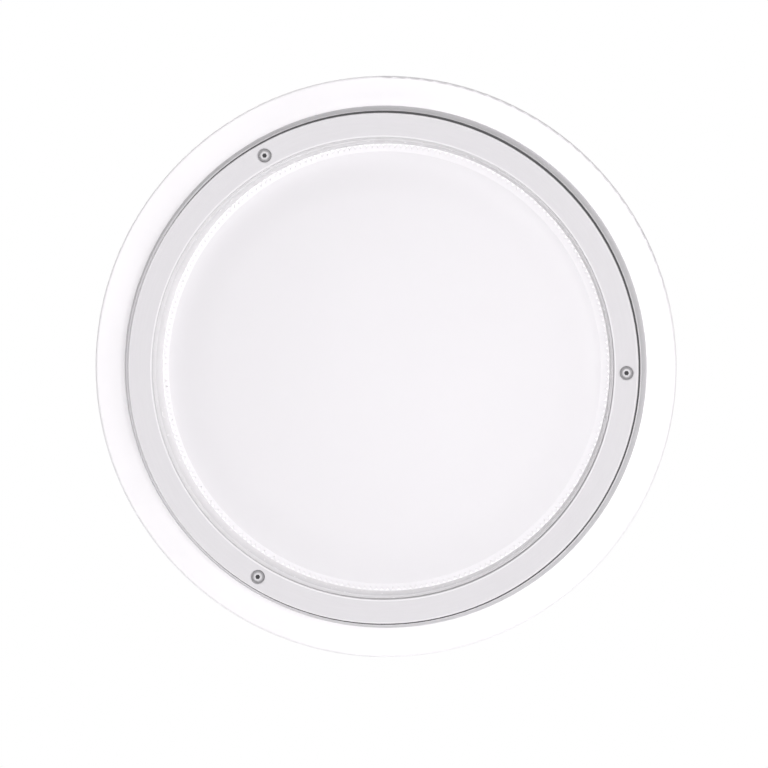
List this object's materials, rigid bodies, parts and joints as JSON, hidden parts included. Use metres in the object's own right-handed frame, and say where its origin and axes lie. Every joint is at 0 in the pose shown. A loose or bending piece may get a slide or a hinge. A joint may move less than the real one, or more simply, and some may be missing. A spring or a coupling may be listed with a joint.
{
  "type": "ceiling and wall light",
  "caption": "Round flush light for a porch ceiling or wall: low white base, grey drum and screwed trim ring, deep-set opal dome diffuser; the cover lifts off over an LED board.",
  "frame": {"origin": "centre of the back plate's mounting face, on the light's axis", "axes": "+Z up as on a wall, +X to the right as seen from the room, +Y into the mounting surface; the light shines along -Y. On a ceiling +Y points up."},
  "size_m": [0.35, 0.0563, 0.35],
  "materials": {
    "white_moulding": "satin",
    "plate_metal": "satin",
    "grey_casting": "satin",
    "grey_ring": "satin",
    "black_rubber": "matte",
    "grey_rubber": "matte",
    "foam": "matte",
    "silicone": "matte",
    "opal": "gloss",
    "stainless": "satin",
    "zinc_steel": "satin",
    "brass": "satin",
    "white_sheet": "satin",
    "white_board": "satin",
    "led_phosphor": "satin",
    "white_nylon": "satin",
    "driver_plastic": "matte",
    "circuit_green": "satin",
    "coil_tape": "satin",
    "capacitor_sleeve": "gloss",
    "brown_lead": "satin",
    "blue_lead": "satin",
    "red_lead": "satin",
    "black_lead": "satin"
  },
  "bodies": {
    "housing": {"base_rim": "white_moulding", "back_plate": "plate_metal", "plate_screws": "zinc_steel", "wall_seal": "foam", "cable_grommet": "grey_rubber", "blanking_plug": "grey_rubber", "threaded_inserts": "brass", "drum": "grey_casting", "drum_seal": "black_rubber", "drum_screws": "zinc_steel", "gear_tray": "white_sheet", "tray_screws": "zinc_steel", "lead_bush": "black_rubber", "led_board": "white_board", "led_chips": "led_phosphor", "led_board_screws": "zinc_steel", "led_connector": "white_nylon", "driver_case": "driver_plastic", "driver_lid": "driver_plastic", "driver_circuit": "circuit_green", "driver_coil": "coil_tape", "driver_capacitors": "capacitor_sleeve", "driver_screws": "zinc_steel", "terminal_block": "white_nylon", "terminal_screws": "brass", "terminal_fixing_screw": "zinc_steel", "live_lead": "brown_lead", "neutral_lead": "blue_lead", "positive_lead": "red_lead", "negative_lead": "black_lead"},
    "cover": {"trim_ring": "grey_ring", "rim_gasket": "black_rubber", "diffuser": "opal", "diffuser_gasket": "silicone", "clamp_ring": "plate_metal", "clamp_screws": "zinc_steel"},
    "washer_1": {"screw_washer_1": "grey_rubber"},
    "screw_1": {"cover_screw_1": "stainless"},
    "washer_2": {"screw_washer_2": "grey_rubber"},
    "screw_2": {"cover_screw_2": "stainless"},
    "washer_3": {"screw_washer_3": "grey_rubber"},
    "screw_3": {"cover_screw_3": "stainless"}
  },
  "joints": [
    {"name": "cover_lift", "type": "slide", "parent": "housing", "child": "cover", "axis": [0, -1, 0], "range_m": [0, 0.15]},
    {"name": "screw_1_travel", "type": "slide", "parent": "cover", "child": "washer_1", "axis": [0, -1, 0], "range_m": [0, 0.0077]},
    {"name": "screw_1_turn", "type": "hinge", "parent": "washer_1", "child": "screw_1", "pos_m": [0.145, -0.05, 0], "axis": [0, -1, 0], "range_deg": [0, 3962]},
    {"name": "screw_2_travel", "type": "slide", "parent": "cover", "child": "washer_2", "axis": [0, -1, 0], "range_m": [0, 0.0077]},
    {"name": "screw_2_turn", "type": "hinge", "parent": "washer_2", "child": "screw_2", "pos_m": [-0.0725, -0.05, 0.12557], "axis": [0, -1, 0], "range_deg": [0, 3962]},
    {"name": "screw_3_travel", "type": "slide", "parent": "cover", "child": "washer_3", "axis": [0, -1, 0], "range_m": [0, 0.0077]},
    {"name": "screw_3_turn", "type": "hinge", "parent": "washer_3", "child": "screw_3", "pos_m": [-0.0725, -0.05, -0.12557], "axis": [0, -1, 0], "range_deg": [0, 3962]}
  ],
  "couplings": [
    {"joint": "screw_1_turn", "follows": "screw_1_travel", "rad_per_m": 8976},
    {"joint": "screw_2_turn", "follows": "screw_2_travel", "rad_per_m": 8976},
    {"joint": "screw_3_turn", "follows": "screw_3_travel", "rad_per_m": 8976}
  ]
}
